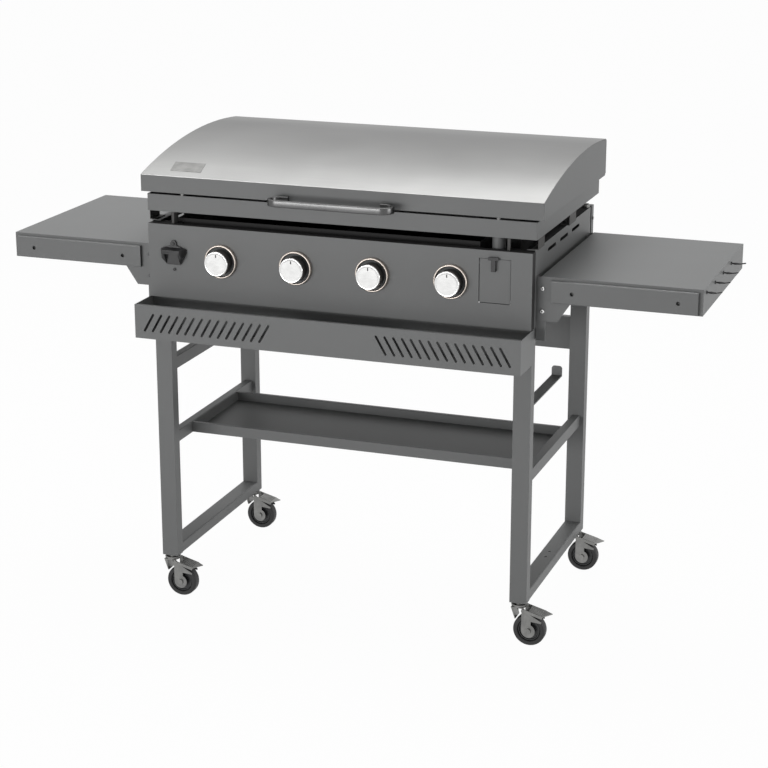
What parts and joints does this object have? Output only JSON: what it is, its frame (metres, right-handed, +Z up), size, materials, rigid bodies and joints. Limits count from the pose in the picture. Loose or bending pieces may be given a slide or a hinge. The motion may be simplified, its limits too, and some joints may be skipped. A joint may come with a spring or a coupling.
{
  "type": "outdoor gas griddle station",
  "caption": "Free-standing gas griddle on a wheeled frame, with hinged lid, burner knobs, side tables, front trough, lower shelf and grease drawer.",
  "frame": {"origin": "on the floor, under the middle of the overall box", "axes": "+Z up, -Y towards the front with the knobs, +X to the right seen from the front"},
  "size_m": [1.6725, 0.649, 1.0821],
  "materials": {
    "grey_powder_coat": "satin powder coat",
    "brushed_stainless": "brushed",
    "plain_steel": "mill finish",
    "griddle_steel": "satin powder coat outside, bare seasoned steel on the cooking surface",
    "valve_brass": "machined",
    "bright_chrome": "polished",
    "black_coat": "satin black",
    "zinc_plate": "zinc plated",
    "black_wheel": "moulded rubber on a nylon rim"
  },
  "bodies": {
    "cart": {"lid_hinge_brackets": "grey_powder_coat", "lid_hinge_pins": "zinc_plate", "lid_bumpers": "bright_chrome", "griddle_plate": "griddle_steel", "griddle_feet": "grey_powder_coat", "front_panel": "grey_powder_coat", "side_panel_left": "grey_powder_coat", "side_panel_right": "grey_powder_coat", "back_panel": "grey_powder_coat", "heat_shield": "plain_steel", "burner_tubes": "plain_steel", "gas_manifold": "plain_steel", "gas_valves": "valve_brass", "knob_bezels": "bright_chrome", "bottle_opener": "black_coat", "drawer_runners": "zinc_plate", "front_trough": "grey_powder_coat", "legs": "grey_powder_coat", "frame_rails": "grey_powder_coat", "rear_cross_panel": "grey_powder_coat", "lower_shelf": "grey_powder_coat", "strap_hook": "grey_powder_coat", "table_left": "grey_powder_coat", "table_right": "grey_powder_coat", "table_front_rails": "grey_powder_coat", "table_brackets": "grey_powder_coat", "table_bolts": "bright_chrome", "tool_hooks": "black_coat", "panel_screws": "zinc_plate", "caster_stems": "zinc_plate"},
    "lid": {"lid_skin": "brushed_stainless", "lid_lip": "grey_powder_coat", "lid_end_left": "grey_powder_coat", "lid_end_right": "grey_powder_coat", "lid_handle": "grey_powder_coat", "lid_handle_spacers": "black_coat", "lid_hinge_leaves": "grey_powder_coat"},
    "drawer": {"drawer_front": "grey_powder_coat", "drawer_pull": "black_coat", "grease_cup": "plain_steel"},
    "valve_plug_1": {"valve_core_1": "valve_brass"},
    "knob_1": {"knob_1": "bright_chrome"},
    "valve_plug_2": {"valve_core_2": "valve_brass"},
    "knob_2": {"knob_2": "bright_chrome"},
    "valve_plug_3": {"valve_core_3": "valve_brass"},
    "knob_3": {"knob_3": "bright_chrome"},
    "valve_plug_4": {"valve_core_4": "valve_brass"},
    "knob_4": {"knob_4": "bright_chrome"},
    "fork_fl": {"caster_fork_fl": "zinc_plate"},
    "wheel_fl": {"caster_wheel_fl": "black_wheel"},
    "pedal_fl": {"brake_pedal_fl": "zinc_plate"},
    "fork_fr": {"caster_fork_fr": "zinc_plate"},
    "wheel_fr": {"caster_wheel_fr": "black_wheel"},
    "pedal_fr": {"brake_pedal_fr": "zinc_plate"},
    "fork_rl": {"caster_fork_rl": "zinc_plate"},
    "wheel_rl": {"caster_wheel_rl": "black_wheel"},
    "pedal_rl": {"brake_pedal_rl": "zinc_plate"},
    "fork_rr": {"caster_fork_rr": "zinc_plate"},
    "wheel_rr": {"caster_wheel_rr": "black_wheel"},
    "pedal_rr": {"brake_pedal_rr": "zinc_plate"}
  },
  "joints": [
    {"name": "lid_hinge", "type": "hinge", "parent": "cart", "child": "lid", "pos_m": [-0.017, 0.3185, 0.985], "axis": [-1, 0, 0], "range_deg": [0, 95]},
    {"name": "drawer_slide", "type": "slide", "parent": "cart", "child": "drawer", "axis": [0, -1, 0], "range_m": [0, 0.085]},
    {"name": "knob_1_turn", "type": "hinge", "parent": "cart", "child": "valve_plug_1", "pos_m": [-0.29075, -0.2285, 0.841], "axis": [0, -1, 0], "range_deg": [0, 200]},
    {"name": "knob_1_push", "type": "slide", "parent": "valve_plug_1", "child": "knob_1", "axis": [0, 1, 0], "range_m": [0, 0.003], "stiffness_N_per_m": 800, "springref_m": -0.002},
    {"name": "knob_2_turn", "type": "hinge", "parent": "cart", "child": "valve_plug_2", "pos_m": [-0.10875, -0.2285, 0.841], "axis": [0, -1, 0], "range_deg": [0, 200]},
    {"name": "knob_2_push", "type": "slide", "parent": "valve_plug_2", "child": "knob_2", "axis": [0, 1, 0], "range_m": [0, 0.003], "stiffness_N_per_m": 800, "springref_m": -0.002},
    {"name": "knob_3_turn", "type": "hinge", "parent": "cart", "child": "valve_plug_3", "pos_m": [0.07325, -0.2285, 0.841], "axis": [0, -1, 0], "range_deg": [0, 200]},
    {"name": "knob_3_push", "type": "slide", "parent": "valve_plug_3", "child": "knob_3", "axis": [0, 1, 0], "range_m": [0, 0.003], "stiffness_N_per_m": 800, "springref_m": -0.002},
    {"name": "knob_4_turn", "type": "hinge", "parent": "cart", "child": "valve_plug_4", "pos_m": [0.25525, -0.2285, 0.841], "axis": [0, -1, 0], "range_deg": [0, 200]},
    {"name": "knob_4_push", "type": "slide", "parent": "valve_plug_4", "child": "knob_4", "axis": [0, 1, 0], "range_m": [0, 0.003], "stiffness_N_per_m": 800, "springref_m": -0.002},
    {"name": "swivel_fl", "type": "hinge", "parent": "cart", "child": "fork_fl", "pos_m": [-0.45, -0.2145, 0.0915], "axis": [0, 0, 1], "continuous": true},
    {"name": "spin_fl", "type": "hinge", "parent": "fork_fl", "child": "wheel_fl", "pos_m": [-0.424, -0.2145, 0.0375], "axis": [0, 1, 0], "continuous": true},
    {"name": "brake_fl", "type": "hinge", "parent": "fork_fl", "child": "pedal_fl", "pos_m": [-0.436, -0.2145, 0.086], "axis": [0, 1, 0], "range_deg": [0, 9]},
    {"name": "swivel_fr", "type": "hinge", "parent": "cart", "child": "fork_fr", "pos_m": [0.416, -0.2145, 0.0915], "axis": [0, 0, 1], "continuous": true},
    {"name": "spin_fr", "type": "hinge", "parent": "fork_fr", "child": "wheel_fr", "pos_m": [0.442, -0.2145, 0.0375], "axis": [0, 1, 0], "continuous": true},
    {"name": "brake_fr", "type": "hinge", "parent": "fork_fr", "child": "pedal_fr", "pos_m": [0.43, -0.2145, 0.086], "axis": [0, 1, 0], "range_deg": [0, 9]},
    {"name": "swivel_rl", "type": "hinge", "parent": "cart", "child": "fork_rl", "pos_m": [-0.45, 0.2675, 0.0915], "axis": [0, 0, 1], "continuous": true},
    {"name": "spin_rl", "type": "hinge", "parent": "fork_rl", "child": "wheel_rl", "pos_m": [-0.424, 0.2675, 0.0375], "axis": [0, 1, 0], "continuous": true},
    {"name": "brake_rl", "type": "hinge", "parent": "fork_rl", "child": "pedal_rl", "pos_m": [-0.436, 0.2675, 0.086], "axis": [0, 1, 0], "range_deg": [0, 9]},
    {"name": "swivel_rr", "type": "hinge", "parent": "cart", "child": "fork_rr", "pos_m": [0.416, 0.2675, 0.0915], "axis": [0, 0, 1], "continuous": true},
    {"name": "spin_rr", "type": "hinge", "parent": "fork_rr", "child": "wheel_rr", "pos_m": [0.442, 0.2675, 0.0375], "axis": [0, 1, 0], "continuous": true},
    {"name": "brake_rr", "type": "hinge", "parent": "fork_rr", "child": "pedal_rr", "pos_m": [0.43, 0.2675, 0.086], "axis": [0, 1, 0], "range_deg": [0, 9]}
  ]
}
